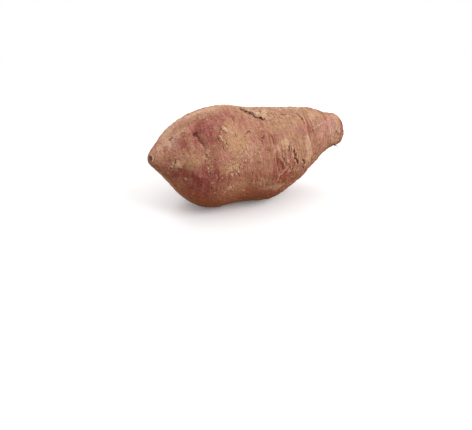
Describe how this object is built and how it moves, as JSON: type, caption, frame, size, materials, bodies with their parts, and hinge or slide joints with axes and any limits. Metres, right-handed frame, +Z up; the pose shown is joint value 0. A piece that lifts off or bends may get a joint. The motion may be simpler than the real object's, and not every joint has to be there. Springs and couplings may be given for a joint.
{
  "type": "sweet potato",
  "caption": "Whole raw sweet potato with a pinkish tan, earth-dusted skin, plump in the middle, with a stem scar at one end and a blunt nose at the other; rests on a small flat spot.",
  "frame": {"origin": "middle of the root's outline seen from above, at the height of the flat spot that it rests on", "axes": "+X along the root from the stem scar to the blunt nose, +Z up, -Y the side seen from the front"},
  "size_m": [0.1712, 0.0814, 0.0788],
  "materials": {
    "skin": "matte, thin papery root skin, pinkish tan with dull magenta patches and dried tan earth"
  },
  "bodies": {
    "root": {"sweet_potato": "skin"}
  },
  "joints": []
}
